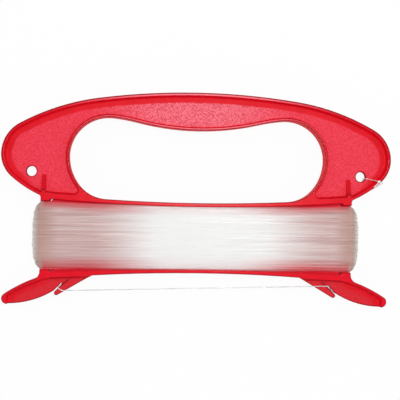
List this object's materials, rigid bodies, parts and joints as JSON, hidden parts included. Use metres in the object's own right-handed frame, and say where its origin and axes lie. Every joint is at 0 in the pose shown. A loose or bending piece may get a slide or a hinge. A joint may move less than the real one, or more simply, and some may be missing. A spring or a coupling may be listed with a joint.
{
  "type": "kite line winder",
  "caption": "Flat moulded line winder with a hand opening, rounded ears and line-parking horns, wound with clear monofilament, for flying a kite by hand.",
  "frame": {"origin": "Under the middle of the frame's outline, on the plane of the winding's rear face, which the winder lies on.", "axes": "+X runs across the winder from ear to ear, +Y from the line channel towards the grip, +Z out of the front face."},
  "size_m": [0.165, 0.09, 0.0118],
  "materials": {
    "frame_red": "glossy rims, finely frosted web",
    "line_clear": "clear nylon monofilament, glossy"
  },
  "bodies": {
    "root": {"winder_frame": "frame_red", "line_winding": "line_clear", "line_tail": "line_clear", "anchor_loop": "line_clear", "anchor_knot": "line_clear"}
  },
  "joints": []
}
